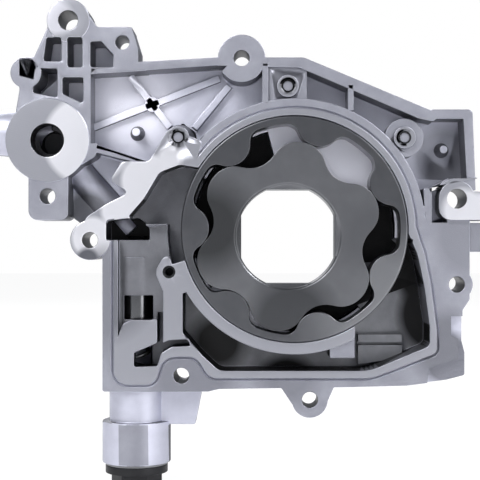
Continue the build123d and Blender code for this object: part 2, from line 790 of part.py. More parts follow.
def relief_valve_spring():
    """Compression spring between the piston and the plug, bent from short straight runs."""
    top, bottom = spring_seats()
    first = bottom + SPRING_WIRE / 2
    height = top - bottom - SPRING_WIRE
    runs = SPRING_TURNS * SPRING_RUNS_PER_TURN
    points = []
    for step in range(runs + 1):
        around = polar(SPRING_RADIUS, 360 * step / SPRING_RUNS_PER_TURN)
        points.append((VALVE_X + around.X, VALVE_DEPTH + around.Y, first + height * step / runs))
    coil = Polyline(*points)
    section = Plane(origin=coil @ 0, z_dir=coil % 0) * RegularPolygon(SPRING_WIRE / 2, 6)
    return sweep(section, path=coil, transition=Transition.RIGHT)


def hexagon(origin, direction, across_flats, height):
    """Hexagon head standing on a point in one direction."""
    section = RegularPolygon(across_flats / 2, 6, major_radius=False)
    return extrude(Plane(origin=origin, z_dir=direction) * section, amount=height)


def relief_valve_plug():
    """Hexagon plug with a flange and a cup for the spring."""
    face = VALVE_TUBE_END - WASHER_THICKNESS
    flange_end = face - PLUG_FLANGE_THICKNESS
    shank_top = face + PLUG_SHANK_LENGTH
    plug = rod(*valve_line(shank_top, face), PLUG_SHANK_RADIUS)
    plug += rod(*valve_line(face, flange_end), PLUG_FLANGE_RADIUS)
    plug += hexagon(valve_line(flange_end)[0], (0, 0, -1), PLUG_HEX, PLUG_HEX_HEIGHT)
    return plug - rod(*valve_line(shank_top + CUT_PAST, shank_top - PLUG_CUP_DEPTH), PLUG_CUP_RADIUS)


def relief_plug_washer():
    """Sealing washer between the plug's flange and the collar."""
    ends = valve_line(VALVE_TUBE_END, VALVE_TUBE_END - WASHER_THICKNESS)
    return rod(*ends, PLUG_FLANGE_RADIUS) - rod(*ends, PLUG_SHANK_RADIUS + THREAD_CLEARANCE)


# Crankshaft seal


def seal_ring(section):
    """Ring from a section of radius and depth, turned about the crankshaft axis."""
    face = Plane.XY * make_face(Polyline(*section, close=True))
    return revolve(face, axis=Axis.Y)


def crank_seal_case():
    """Pressed steel case: a shell in the hub's bore with a flat rim turned inwards."""
    back = HUB_DEPTH
    front = back - SEAL_WIDTH
    inner = SEAL_RADIUS - SEAL_CASE_THICKNESS
    rim = SEAL_LIP_RADIUS + SEAL_CASE_RIM
    return seal_ring([
        (inner, front),
        (SEAL_RADIUS, front),
        (SEAL_RADIUS, back),
        (rim, back),
        (rim, back - SEAL_CASE_THICKNESS),
        (inner, back - SEAL_CASE_THICKNESS),
    ])


def crank_seal_lip():
    """Rubber body bonded into the case, with the lip that runs on the crankshaft."""
    back = HUB_DEPTH - SEAL_CASE_THICKNESS
    front = HUB_DEPTH - SEAL_WIDTH
    inner = SEAL_RADIUS - SEAL_CASE_THICKNESS
    arm = SEAL_LIP_RADIUS + LIP_ARM
    return seal_ring([
        (inner, front + LIP_COVER),
        (inner, back),
        (SEAL_LIP_RADIUS + LIP_COVER, back),
        (arm - LIP_ARM_THICKNESS, front + 2 * LIP_COVER),
        (SEAL_LIP_RADIUS, front + LIP_ARM_THICKNESS),
        (arm - LIP_ARM_THICKNESS, front + LIP_COVER / 3),
        (arm, front + LIP_COVER / 3),
        (arm, back - LIP_ARM_THICKNESS),
        (inner - LIP_COVER, back - LIP_ARM_THICKNESS),
        (inner - LIP_COVER, front + LIP_COVER),
    ])


def crank_seal_garter_spring():
    """Coil ring that presses the lip inwards, drawn as a plain ring with six sides."""
    depth = HUB_DEPTH - SEAL_WIDTH + LIP_ARM_THICKNESS
    section = Pos(SEAL_LIP_RADIUS + LIP_ARM + GARTER_RADIUS, depth) * RegularPolygon(GARTER_RADIUS, 6)
    return revolve(Plane.XY * section, axis=Axis.Y)


# Gallery plug


def gallery_plug():
    """Hexagon plug that closes the gallery at the spigot's end."""
    face = SPIGOT_END_X - WASHER_THICKNESS
    head_start = face - GALLERY_PLUG_FLANGE
    plug = rod(*gallery_line(face + GALLERY_PLUG_SHANK, face), GALLERY_PLUG_SHANK_RADIUS)
    plug += rod(*gallery_line(face, head_start), GALLERY_PLUG_RADIUS)
    return plug + hexagon(gallery_line(head_start)[0], (-1, 0, 0), GALLERY_PLUG_HEX, GALLERY_PLUG_HEAD)


def gallery_plug_washer():
    """Sealing washer under the gallery plug."""
    ends = gallery_line(SPIGOT_END_X, SPIGOT_END_X - WASHER_THICKNESS)
    return rod(*ends, GALLERY_PLUG_RADIUS) - rod(*ends, GALLERY_PLUG_SHANK_RADIUS + THREAD_CLEARANCE)


NODES = [
    pump_housing,
    inner_rotor,
    outer_rotor,
    relief_valve_piston,
    relief_valve_spring,
    relief_valve_plug,
    relief_plug_washer,
    crank_seal_case,
    crank_seal_lip,
    crank_seal_garter_spring,
    gallery_plug,
    gallery_plug_washer,
]

os.makedirs("parts", exist_ok=True)
for node in NODES:
    export_step(node(), f"parts/{node.__name__}.step")
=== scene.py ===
"""Engine oil pump with a crankshaft-driven rotor set: casting details, finishes and studio.

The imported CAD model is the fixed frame. Lengths in this file are in millimetres unless a name or
a docstring says otherwise, and MM turns them into Blender's metres. Seen from the engine, X runs
to the right, Z up and Y into the pump, so a depth is a distance behind the mating face.
"""

import json
import logging
import math
from dataclasses import dataclass, field
from enum import Enum

import bmesh
import bpy
from mathutils import Matrix, Vector
from mathutils.bvhtree import BVHTree


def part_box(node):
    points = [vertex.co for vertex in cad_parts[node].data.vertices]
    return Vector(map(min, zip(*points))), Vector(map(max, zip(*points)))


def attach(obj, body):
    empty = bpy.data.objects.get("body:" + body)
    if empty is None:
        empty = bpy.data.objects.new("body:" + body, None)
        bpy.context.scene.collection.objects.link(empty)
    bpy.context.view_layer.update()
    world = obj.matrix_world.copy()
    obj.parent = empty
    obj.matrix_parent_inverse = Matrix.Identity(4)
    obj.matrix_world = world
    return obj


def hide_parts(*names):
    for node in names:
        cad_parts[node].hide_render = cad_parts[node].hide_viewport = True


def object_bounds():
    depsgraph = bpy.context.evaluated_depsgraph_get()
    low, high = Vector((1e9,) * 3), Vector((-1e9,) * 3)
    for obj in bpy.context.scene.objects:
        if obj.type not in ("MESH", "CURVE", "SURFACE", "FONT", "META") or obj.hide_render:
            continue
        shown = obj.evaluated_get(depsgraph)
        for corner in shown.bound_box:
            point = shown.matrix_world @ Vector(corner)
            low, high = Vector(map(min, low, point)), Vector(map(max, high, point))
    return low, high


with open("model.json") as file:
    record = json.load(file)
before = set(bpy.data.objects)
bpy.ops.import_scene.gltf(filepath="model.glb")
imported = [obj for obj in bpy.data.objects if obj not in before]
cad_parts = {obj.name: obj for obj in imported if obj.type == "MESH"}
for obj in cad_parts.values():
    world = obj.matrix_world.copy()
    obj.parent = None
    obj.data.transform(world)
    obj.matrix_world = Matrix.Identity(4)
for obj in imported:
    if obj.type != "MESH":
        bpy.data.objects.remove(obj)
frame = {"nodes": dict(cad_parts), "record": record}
CAD_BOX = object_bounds()

MM = 0.001
PHOTO_PIXELS = 480
LOG = logging.getLogger("oil_pump")

NodeSocket = bpy.types.NodeSocket
Tree = bpy.types.NodeTree
Shape = bmesh.types.BMesh
Place = tuple[float, float]


class Body(str, Enum):
    """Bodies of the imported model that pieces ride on."""

    HOUSING = "housing"
    INNER_ROTOR = "inner_rotor"
    OUTER_ROTOR = "outer_rotor"
    RELIEF_PISTON = "relief_piston"


class Region(Enum):
    """Kinds of surface on the casting."""

    # Besides their finish, the kinds get lighter or darker tones of the same metal, which are painted light and shade.
    MILLED = 0
    LAND = 1
    FLOOR = 2
    INNER_WALL = 3
    OUTSIDE = 4
    SHADED_CAVITY_FLOOR = 5
    SUCTION_FLOOR = 6
    DEEP_SHADE = 7
    TURNED = 8
    BORE = 9


class Cut(str, Enum):
    """How a body is joined to the casting."""

    AWAY = "DIFFERENCE"
    ON = "UNION"


def linear(code: str) -> tuple[float, float, float, float]:
    """Turn an sRGB hex colour into Blender's linear values.

    Args:
        code: colour such as "#b8b9c4".

    Returns:
        Red, green, blue and an alpha of 1.
    """
    parts = [int(code[place:place + 2], 16) / 255 for place in (1, 3, 5)]
    red, green, blue = (c / 12.92 if c <= 0.04045 else ((c + 0.055) / 1.055) ** 2.4 for c in parts)
    return red, green, blue, 1.0


def add_node(tree: Tree, kind: str, settings: dict | None = None, links: dict | None = None) -> bpy.types.Node:
    """Add a node with its settings and links.

    Args:
        tree: node tree that gets the node.
        kind: Blender's name for the kind of node.
        settings: properties by name, or input values by socket name or number.
        links: output sockets that feed the inputs, by socket name or number.

    Returns:
        The new node.
    """
    made = tree.nodes.new(kind)
    for name, value in (settings or {}).items():
        if isinstance(name, str) and hasattr(made, name):
            setattr(made, name, value)
        else:
            made.inputs[name].default_value = value
    for name, socket in (links or {}).items():
        tree.links.new(socket, made.inputs[name])
    return made


def ramp(tree: Tree, value: NodeSocket, low: float, high: float, start: float = 0.0, end: float = 1.0) -> NodeSocket:
    """Map a value from one range to another, held at both ends.

    Args:
        tree: node tree in use.
        value: socket with the value.
        low: value that gives start.
        high: value that gives end.
        start: result at low.
        end: result at high.

    Returns:
        The mapped value.
    """
    settings = {"From Min": low, "From Max": high, "To Min": start, "To Max": end, "clamp": True}
    return add_node(tree, "ShaderNodeMapRange", settings, {"Value": value}).outputs[0]


def mix_colour(tree: Tree, share: NodeSocket, first: object, second: object) -> NodeSocket:
    """Mix two colours by a share.

    Args:
        tree: node tree in use.
        share: how much of the second colour shows.
        first: linear colour or socket.
        second: linear colour or socket.

    Returns:
        The mixed colour.
    """
    settings = {"data_type": "RGBA"}
    links = {0: share}
    for place, colour in ((6, first), (7, second)):
        if isinstance(colour, NodeSocket):
            links[place] = colour
        else:
            settings[place] = colour
    return add_node(tree, "ShaderNodeMix", settings, links).outputs[2]


def multiply(tree: Tree, first: object, second: object) -> NodeSocket:
    """Multiply two values.

    Args:
        tree: node tree in use.
        first: number or socket.
        second: number or socket.

    Returns:
        The product.
    """
    settings = {"operation": "MULTIPLY"}
    links = {}
    for place, value in enumerate((first, second)):
        if isinstance(value, NodeSocket):
            links[place] = value
        else:
            settings[place] = value
    return add_node(tree, "ShaderNodeMath", settings, links).outputs[0]


@dataclass(frozen=True)
class Patch:
    """Round area of another tone on a surface, seen from the front, with a soft edge."""

    centre: Place
    radius: float
    soft: float
    tone: str


@dataclass(frozen=True)
class Surface:
    """Node tree of one material, with what every finish starts from."""

    material: bpy.types.Material
    tree: Tree
    shader: bpy.types.Node
    place: NodeSocket

    @classmethod
    def start(cls, name: str) -> "Surface":
        """Make an empty material with a principled shader and Object coordinates.

        Args:
            name: name of the material.

        Returns:
            The surface, ready for a finish.
        """
        material = bpy.data.materials.new(name)
        material.use_nodes = True
        tree = material.node_tree
        tree.nodes.clear()
        shader = add_node(tree, "ShaderNodeBsdfPrincipled")
        add_node(tree, "ShaderNodeOutputMaterial", links={"Surface": shader.outputs["BSDF"]})
        place = add_node(tree, "ShaderNodeTexCoord").outputs["Object"]
        return cls(material, tree, shader, place)

    def noise(self, grain_mm: float, detail: float = 3.0, roughness: float = 0.55) -> NodeSocket:
        """Cloudy value from 0 to 1 with grains of one real size.

        Args:
            grain_mm: size of a grain.
            detail: how many finer layers it has.
            roughness: how strong the finer layers are.

        Returns:
            The value.
        """
        settings = {"Scale": 1 / (grain_mm * MM), "Detail": detail, "Roughness": roughness}
        return add_node(self.tree, "ShaderNodeTexNoise", settings, {"Vector": self.place}).outputs[0]

    def rings(self, centre: Place, pitch_mm: float) -> NodeSocket:
        """Fine rings about an axis along Y, as a grinding wheel or a lathe leaves them.

        Args:
            centre: X and Z of the axis.
            pitch_mm: distance from one ring to the next.

        Returns:
            The value, from 0 to 1.
        """
        move = {"Location": (-centre[0] * MM, 0.0, -centre[1] * MM)}
        moved = add_node(self.tree, "ShaderNodeMapping", move, {"Vector": self.place}).outputs[0]
        # Blender's wave texture has 20 radians to a unit at scale 1
        settings = {
            "wave_type": "RINGS",
            "rings_direction": "Y",
            "Scale": 2 * math.pi / (20 * pitch_mm * MM),
            "Distortion": 1.5,
            "Detail": 2.0,
        }
        return add_node(self.tree, "ShaderNodeTexWave", settings, {"Vector": moved}).outputs["Fac"]

    def patched(self, colour: object, patches: tuple[Patch, ...]) -> object:
        """Lay round areas of other tones over a colour, in their order.

        Args:
            colour: linear colour or socket.
            patches: the areas.

        Returns:
            The colour with the areas.
        """
        if not patches:
            return colour
        axes = add_node(self.tree, "ShaderNodeSeparateXYZ", links={"Vector": self.place}).outputs
        flat = add_node(self.tree, "ShaderNodeCombineXYZ", links={"X": axes["X"], "Z": axes["Z"]}).outputs[0]
        for patch in patches:
            spot = (patch.centre[0] * MM, 0.0, patch.centre[1] * MM)
            settings = {"operation": "DISTANCE", 1: spot}
            away = add_node(self.tree, "ShaderNodeVectorMath", settings, {0: flat}).outputs["Value"]
            inner = (patch.radius - patch.soft / 2) * MM
            outer = (patch.radius + patch.soft / 2) * MM
            colour = mix_colour(self.tree, ramp(self.tree, away, inner, outer, 1.0, 0.0), colour, linear(patch.tone))
        return colour

    def bump(self, height: NodeSocket, depth_mm: float) -> NodeSocket:
        """Normal of a relief on the surface.

        Args:
            height: relief from 0 to 1.
            depth_mm: real depth of the relief.

        Returns:
            The new normal.
        """
        settings = {"Distance": depth_mm * MM, "Strength": 1.0}
        return add_node(self.tree, "ShaderNodeBump", settings, {"Height": height}).outputs[0]

    def set(self, **values: object) -> None:
        """Set or feed the shader's inputs.

        Args:
            values: numbers, colours or sockets by input name, with an underscore for a space.
        """
        for name, value in values.items():
            socket = self.shader.inputs[name.replace("_", " ")]
            if isinstance(value, NodeSocket):
                self.tree.links.new(value, socket)
            else:
                socket.default_value = value


@dataclass(frozen=True)
class CastSkin:
    """Skin of die-cast aluminium alloy, shot-blasted.

    Blasting leaves a fine, even, matt pebble on a slightly blue grey. The alloy shows clouds a few
    millimetres across. Its lighter and darker copies and its patches are painted light and shade.
    """

    name: str
    tone: str
    cloud: str
    patches: tuple[Patch, ...] = ()
    roughness: tuple[float, float] = (0.4, 0.58)
    grain_mm: float = 0.55
    cloud_mm: float = 11.0
    relief_mm: float = 0.08

    def build(self) -> bpy.types.Material:
        """Make the material."""
        surface = Surface.start(self.name)
        tree = surface.tree
        clouds = ramp(tree, surface.noise(self.cloud_mm, 4.0), 0.35, 0.65)
        grain = surface.noise(self.grain_mm, 4.0, 0.7)
        colour = mix_colour(tree, clouds, linear(self.cloud), linear(self.tone))
        surface.set(
            Base_Color=surface.patched(colour, self.patches),
            Metallic=0.85,
            Roughness=ramp(tree, grain, 0.2, 0.8, *self.roughness),
            Normal=surface.bump(grain, self.relief_mm),
        )
        return surface.material


@dataclass(frozen=True)
class MilledFace:
    """Face of the same alloy that a face mill has passed over.

    The cutter leaves shallow arcs with a wide radius, so the face is smoother and brighter than the
    skin. Its patches are painted highlights where it catches the light and painted shade where it stays
    grey. The real arcs are about 0.3 mm apart, too fine to show, so they are drawn 0.9 mm apart.
    """

    name: str
    tone: str
    patches: tuple[Patch, ...] = ()
    cutter_centre: Place = (-160.0, -120.0)
    mark_mm: float = 0.9

    def build(self) -> bpy.types.Material:
        """Make the material."""
        surface = Surface.start(self.name)
        tree = surface.tree
        marks = surface.rings(self.cutter_centre, self.mark_mm)
        grain = surface.noise(0.5, 3.0)
        surface.set(
            Base_Color=surface.patched(linear(self.tone), self.patches),
            Metallic=0.85,
            Roughness=ramp(tree, grain, 0.2, 0.8, 0.34, 0.46),
            Normal=surface.bump(multiply(tree, marks, ramp(tree, grain, 0.3, 0.7)), 0.012),
        )
        return surface.material


@dataclass(frozen=True)
class SinteredSteel:
    """Pressed and sintered steel with ground faces.

    It is darker than the casting and even in tone, with faint rings from the grinding wheel, about
    0.2 mm apart and drawn 1.1 mm apart so that they show.
    """

    name: str
    centre: Place
    tone: str
    cloud: str
    patches: tuple[Patch, ...] = ()
    mark_mm: float = 1.1

    def build(self) -> bpy.types.Material:
        """Make the material."""
        surface = Surface.start(self.name)
        tree = surface.tree
        marks = surface.rings(self.centre, self.mark_mm)
        grain = surface.noise(0.4, 3.0)
        clouds = ramp(tree, surface.noise(9.0, 2.0), 0.3, 0.7)
        colour = mix_colour(tree, clouds, linear(self.cloud), linear(self.tone))
        surface.set(
            Base_Color=surface.patched(colour, self.patches),
            Metallic=1.0,
            Roughness=ramp(tree, grain, 0.2, 0.8, 0.3, 0.42),
            Normal=surface.bump(marks, 0.006),
        )
        return surface.material


@dataclass(frozen=True)
class FineSteel:
    """Small steel or soft metal parts: ground, drawn, pressed or phosphated, with a fine grain."""

    name: str
    tone: str
    roughness: float
    shade: float = 0.25
    grain_mm: float = 0.3
    metallic: float = 1.0

    def build(self) -> bpy.types.Material:
        """Make the material."""
        surface = Surface.start(self.name)
        tree = surface.tree
        grain = surface.noise(self.grain_mm, 3.0)
        share = ramp(tree, grain, 0.2, 0.8, 0.0, self.shade)
        surface.set(
            Base_Color=mix_colour(tree, share, linear(self.tone), (0.0, 0.0, 0.0, 1.0)),
            Metallic=self.metallic,
            Roughness=self.roughness,
            Normal=surface.bump(grain, 0.01),
        )
        return surface.material


@dataclass(frozen=True)
class SealRubber:
    """Moulded nitrile rubber of the crankshaft seal: black and matt, with a soft sheen."""

    name: str = "moulded_nitrile_rubber"
    tone: str = "#1c1c1d"

    def build(self) -> bpy.types.Material:
        """Make the material."""
        surface = Surface.start(self.name)
        grain = surface.noise(0.5)
        surface.set(
            Base_Color=linear(self.tone),
            Roughness=ramp(surface.tree, grain, 0.2, 0.8, 0.55, 0.7),
            Normal=surface.bump(grain, 0.02),
        )
        return surface.material


@dataclass(frozen=True)
class Prism:
    """Straight-sided body with its outline in X and Z, between two depths."""

    corners: tuple[Place, ...]
    front: float
    back: float

    @classmethod
    def bar(cls, start: Place, end: Place, width: float, front: float, back: float) -> "Prism":
        """Straight rib between two points.

        Args:
            start: X and Z of one end.
            end: X and Z of the other end.
            width: thickness of the rib.
            front: depth of its top.
            back: depth of its foot.

        Returns:
            The rib.
        """
        run = Vector(end) - Vector(start)
        side = Vector((-run.y, run.x)).normalized() * width / 2
        ends = (Vector(start) + side, Vector(end) + side, Vector(end) - side, Vector(start) - side)
        return cls(tuple((corner.x, corner.y) for corner in ends), front, back)

    def add_to(self, shape: Shape) -> None:
        """Add the closed body to a shape.

        Args:
            shape: shape that gets the body.
        """
        face = shape.faces.new([shape.verts.new((x * MM, self.front * MM, z * MM)) for x, z in self.corners])
        pushed = bmesh.ops.extrude_face_region(shape, geom=[face])["geom"]
        moved = [part for part in pushed if isinstance(part, bmesh.types.BMVert)]
        bmesh.ops.translate(shape, verts=moved, vec=(0.0, (self.back - self.front) * MM, 0.0))


@dataclass(frozen=True)
class Turned:
    """Round or tapered body about an axis along Y, between two depths."""

    centre: Place
    radius: float
    front: float
    back: float
    back_radius: float | None = None
    sides: int = 48

    def add_to(self, shape: Shape) -> None:
        """Add the closed body to a shape.

        Args:
            shape: shape that gets the body.
        """
        back_radius = self.radius if self.back_radius is None else self.back_radius
        middle = Vector((self.centre[0], (self.front + self.back) / 2, self.centre[1])) * MM
        bmesh.ops.create_cone(
            shape,
            cap_ends=True,
            segments=self.sides,
            radius1=back_radius * MM,
            radius2=self.radius * MM,
            depth=(self.back - self.front) * MM,
            matrix=Matrix.Translation(middle) @ Matrix.Rotation(math.pi / 2, 4, "X"),
        )


@dataclass(frozen=True)
class RingSector:
    """Part of a ring about the crankshaft axis, between two depths and two bearings in degrees."""

    inner: float
    outer: float
    span: Place
    front: float
    back: float
    steps: int = 8

    def add_to(self, shape: Shape) -> None:
        """Add the closed body to a shape.

        Args:
            shape: shape that gets the body.
        """
        before = set(shape.verts)
        corners = ((self.inner, self.front), (self.outer, self.front), (self.outer, self.back), (self.inner, self.back))
        face = shape.faces.new([shape.verts.new((x * MM, y * MM, 0.0)) for x, y in corners])
        start, end = (math.radians(bearing) for bearing in self.span)
        turn = Matrix.Rotation(-start, 3, "Y")
        bmesh.ops.rotate(shape, verts=face.verts, cent=(0, 0, 0), matrix=turn)
        bmesh.ops.spin(
            shape, geom=[face, *face.edges, *face.verts], cent=(0, 0, 0), axis=(0, 1, 0),
            dvec=(0, 0, 0), angle=start - end, steps=self.steps, use_merge=False,
        )
        added = [vert for vert in shape.verts if vert not in before]
        bmesh.ops.remove_doubles(shape, verts=added, dist=0.001 * MM)


def merged(node: str) -> Shape:
    """Read a CAD node's mesh as one closed shape.

    Args:
        node: name of the CAD node.

    Returns:
        The shape, with its doubles merged.
    """
    shape = bmesh.new()
    shape.from_mesh(frame["nodes"][node].data)
    bmesh.ops.remove_doubles(shape, verts=shape.verts, dist=0.002 * MM)
    bmesh.ops.dissolve_degenerate(shape, dist=0.004 * MM, edges=shape.edges)
    return shape


def to_object(shape: Shape, name: str) -> bpy.types.Object:
    """Turn a shape into an object of the scene.

    Args:
        shape: shape, which is freed.
        name: name of the object.

    Returns:
        The object.
    """
    mesh = bpy.data.meshes.new(name)
    shape.to_mesh(mesh)
    shape.free()
    made = bpy.data.objects.new(name, mesh)
    bpy.context.scene.collection.objects.link(made)
    return made


def combine(target: bpy.types.Object, how: Cut, bodies: list) -> None:
    """Join bodies to an object or cut them away from it.

    Args:
        target: object whose mesh changes.
        how: joined on or cut away.
        bodies: bodies with an add_to method.
    """
    shape = bmesh.new()
    for body in bodies:
        single = bmesh.new()
        body.add_to(single)
        bmesh.ops.recalc_face_normals(single, faces=single.faces)
        if how is Cut.ON:
            sharp = [edge for edge in single.edges if edge.calc_face_angle(0.0) > math.radians(33)]
            bmesh.ops.bevel(
                single, geom=sharp, offset=0.3 * MM, segments=2, profile=0.5, affect="EDGES",
                clamp_overlap=True, material=-1,
            )
        part = bpy.data.meshes.new("part")
        single.to_mesh(part)
        single.free()
        shape.from_mesh(part)
        bpy.data.meshes.remove(part)
    tool = to_object(shape, "tool")
    step = target.modifiers.new("step", "BOOLEAN")
    step.operation = how.value
    step.solver = "EXACT"
    step.use_self = True
    step.object = tool
    done = target.evaluated_get(bpy.context.evaluated_depsgraph_get())
    target.data = bpy.data.meshes.new_from_object(done)
    target.modifiers.clear()
    bpy.data.objects.remove(tool)


def round_edges(piece: bpy.types.Object, edge_mm: float) -> None:
    """Give a piece narrow rounded edges.

    Args:
        piece: piece that gets the modifier.
        edge_mm: width of the rounding.
    """
    edges = piece.modifiers.new("rounded_edges", "BEVEL")
    edges.width = edge_mm * MM
    edges.segments = 2
    edges.limit_method = "ANGLE"
    edges.angle_limit = math.radians(33)
    edges.use_clamp_overlap = False
    edges.loop_slide = False


def finish_piece(piece: bpy.types.Object, body: Body, slot: str, edge_mm: float, *nodes: str) -> None:
    """Round a piece's edges, smooth its shading and let it ride and stand for CAD nodes.

    Args:
        piece: finished piece.
        body: body that it rides on.
        slot: material slot of the record; not used.
        edge_mm: width of the rounding, or 0 for none.
        nodes: CAD nodes that it stands for.
    """
    for face in piece.data.polygons:
        face.use_smooth = True
    if edge_mm:
        round_edges(piece, edge_mm)
    shading = piece.modifiers.new("flat_faces_stay_flat", "WEIGHTED_NORMAL")
    shading.mode = "FACE_AREA"
    shading.weight = 50
    shading.keep_sharp = True
    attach(piece, body.value)
    if nodes:
        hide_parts(*nodes)
    LOG.info("built %s on %s", piece.name, body.value)


def dress(piece: bpy.types.Object, *finishes: object) -> None:
    """Give a piece its finishes, in the order of its material numbers.

    Args:
        piece: piece to dress.
        finishes: finishes with a build method.
    """
    piece.data.materials.clear()
    for finish in finishes:
        piece.data.materials.append(finish.build())


@dataclass
class Casting:
    """Pump housing: the CAD casting with its finer cast forms and a finish for each kind of surface."""

    rotor_centre: Place
    panel_depth: float = 15.0
    rib_top: float = 12.0
    rib_width: float = 3.0
    pad_depth: float = 2.2
    body_depth: float = 24.0
    flange_depth: float = 0.6
    screw_radius: float = 2.1
    screw_depth: float = 14.0
    pocket_depth: float = 13.1
    edge_mm: float = 0.4
    screws: tuple[Place, ...] = ((-46.2, 41.8), (0.0, 63.3), (49.1, 41.6), (-50.0, -14.9))
    stubs: tuple[Place, ...] = ((-64.6, 44.6), (66.6, 37.2))
    holes: dict[str, tuple[Place, float]] = field(default_factory=dict)

    def read_holes(self) -> None:
        """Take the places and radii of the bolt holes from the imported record."""
        for mount in frame["record"]["mounts"]:
            radius = mount["dims"].get("r_mm")
            if radius:
                x, _, z = mount["pos_m"]
                self.holes[mount["name"]] = ((x / MM, z / MM), radius)

    def cleared(self) -> list:
        """Bodies cut away first: room for the ribs, the open box, the arm and the flank's step."""
        ribs = Prism(
            (
                (-83.0, 39.2), (-83.0, 68.3), (-30.0, 71.9), (-25.5, 71.9), (-28.0, 69.2),
                (-47.2, 46.9), (-50.3, 45.2), (-75.0, 45.2), (-79.0, 39.2),
            ),
            -1.0,
            self.panel_depth,
        )
        box = Prism(
            (
                (62.5, 49.5), (73.8, 49.5), (75.2, 24.4), (67.0, 24.4), (59.0, 20.2), (55.4, 20.2),
                (53.5, 25.1), (51.1, 29.8), (49.5, 32.6), (50.0, 42.0), (54.5, 49.8), (61.0, 48.4),
            ),
            -1.0,
            self.panel_depth,
        )
        arm = Prism(((60.5, 5.8), (92.0, 5.8), (92.0, 26.0), (79.5, 26.0), (79.5, 24.4), (60.5, 21.0)), -1.0, 32.0)
        step = Prism(
            (
                (68.6, -33.5), (78.0, -33.5), (78.0, -66.0), (58.0, -66.0), (59.5, -55.0),
                (71.6, -51.6), (71.6, -43.0), (68.6, -41.5),
            ),
            -1.0,
            4.0,
        )
        stub = Prism(((-124.0, 61.8), (-113.0, 61.8), (-113.0, 76.2), (-124.0, 76.2)), -1.0, 25.0)
        corner = Prism(
            ((-63.0, 73.4), (-63.0, 79.0), (-65.5, 87.0), (-66.0, 90.0), (-58.0, 90.0), (-58.0, 73.9)), -1.0, 25.0
        )
        return [ribs, box, arm, step, stub, corner]

    def arm(self) -> list:
        """Arm at the right with its boss, its round end, the plate under it and the slot's floor."""
        (boss_x, boss_z), _ = self.holes["arm_bolt_hole"]
        end_x, end_z = 83.9, 12.8
        half = 5.9
        over = [math.radians(180 - 12 * step) for step in range(14)]
        round_end = [math.radians(90 - 15 * step) for step in range(13)]
        outline = [(boss_x + 7.6 * math.cos(turn), boss_z + 7.6 * math.sin(turn)) for turn in over]
        outline += [(end_x + half * math.cos(turn), end_z + half * math.sin(turn)) for turn in round_end]
        outline += [(68.4, end_z - half), (66.5, 7.3), (64.9, 8.4), (63.8, 10.0), (63.4, 11.9)]
        return [
            Prism(tuple(outline), 0.0, self.body_depth),
            Prism(((60.0, 5.3), (76.5, 5.3), (76.5, 20.0), (60.0, 20.0)), self.rib_top, self.panel_depth),
            Prism(((67.0, 5.3), (76.5, 5.3), (76.5, 20.0), (67.0, 20.0)), self.flange_depth, self.panel_depth),
            Prism(
                (
                    (59.4, 18.4), (60.5, 18.6), (67.0, 22.0), (67.5, 19.5), (79.0, 19.5),
                    (78.75, 24.4), (67.0, 24.4), (59.2, 20.3),
                ),
                self.flange_depth,
                19.5,
            ),
        ]

    def ribs(self) -> list:
        """Low ribs on the panel, short ribs at the ring and ribs on the back of the panel."""
        top = self.rib_top
        foot = self.panel_depth + 1.0
        back = (18.5, self.body_depth)
        low = [
            Prism.bar((-83.5, 47.0), (-29.0, 68.2), self.rib_width, top, foot),
            Prism.bar((-67.5, 69.2), (-50.5, 47.0), self.rib_width, top, foot),
            Turned((-58.1, 56.9), 3.3, top, foot, sides=24),
        ]
        short = [
            Prism(((-10.8, 56.0), (-10.8, 73.0), (-8.2, 73.0), (-8.2, 56.0)), self.flange_depth, self.body_depth),
            Prism(((25.2, 53.0), (25.2, 64.0), (27.6, 64.0), (27.6, 53.0)), self.flange_depth, self.body_depth),
        ]
        behind = [
            Prism.bar((-20.0, 50.0), (-19.6, 70.5), self.rib_width, *back),
            Prism.bar((-46.0, 36.0), (-77.0, 68.0), self.rib_width, *back),
            Prism.bar((30.0, 44.0), (36.0, 60.0), self.rib_width, *back),
        ]
        return low + short + behind

    def pads(self) -> list:
        """Pads and bosses of the cover screws, the bolt bosses and the round stubs on the floors."""
        made = [
            Prism(((-8.2, 56.0), (-8.2, 72.0), (8.0, 72.0), (8.0, 56.0)), self.pad_depth, self.body_depth),
            Turned(self.screws[2], 8.2, self.pad_depth, self.body_depth),
            Turned((-110.3, 68.9), 6.5, self.flange_depth, 21.0),
            Prism(((-83.0, 68.4), (-59.6, 69.8), (-59.6, 71.0), (-83.0, 71.0)), self.flange_depth, 16.0),
        ]
        made += [Turned(place, 4.6, 0.0, self.panel_depth, 6.6) for place in self.screws[:3]]
        made += [Turned(place, 1.7, 7.5, self.panel_depth + 1.0, 3.4, 24) for place in self.stubs]
        return made

    def suction_forms(self) -> list:
        """Square end of the ring wall and the ledge where the pickup pipe comes in."""
        end = ((17.6, -43.5), (22.9, -41.6), (28.1, -38.8), (28.1, -51.2), (17.6, -51.2))
        ledge = ((30.6, -41.6), (50.0, -41.6), (50.0, -52.5), (30.6, -55.5))
        return [Prism(end, 1.5, self.body_depth), Prism(ledge, 16.0, 21.0)]

    def drilled(self) -> list:
        """Bodies cut away last: holes through the new bosses, countersinks, grooves and back pockets."""
        place, radius = self.holes["arm_bolt_hole"]
        made = [Turned(place, radius, -1.0, 32.0)]
        made += [Turned(place, self.screw_radius, -1.0, self.screw_depth, sides=32) for place in self.screws[:3]]
        made += [Turned(place, self.screw_radius + 0.7, -0.1, 0.7, self.screw_radius - 0.1) for place in self.screws]
        for low in (-42.3, -46.9):
            made.append(Prism(((29.0, low), (52.0, low), (52.0, low + 1.3), (29.0, low + 1.3)), 15.0, 19.0))
        made += [RingSector(39.0, 43.5, span, 18.6, 25.0) for span in ((32, 62), (68, 98), (219, 247))]
        return made

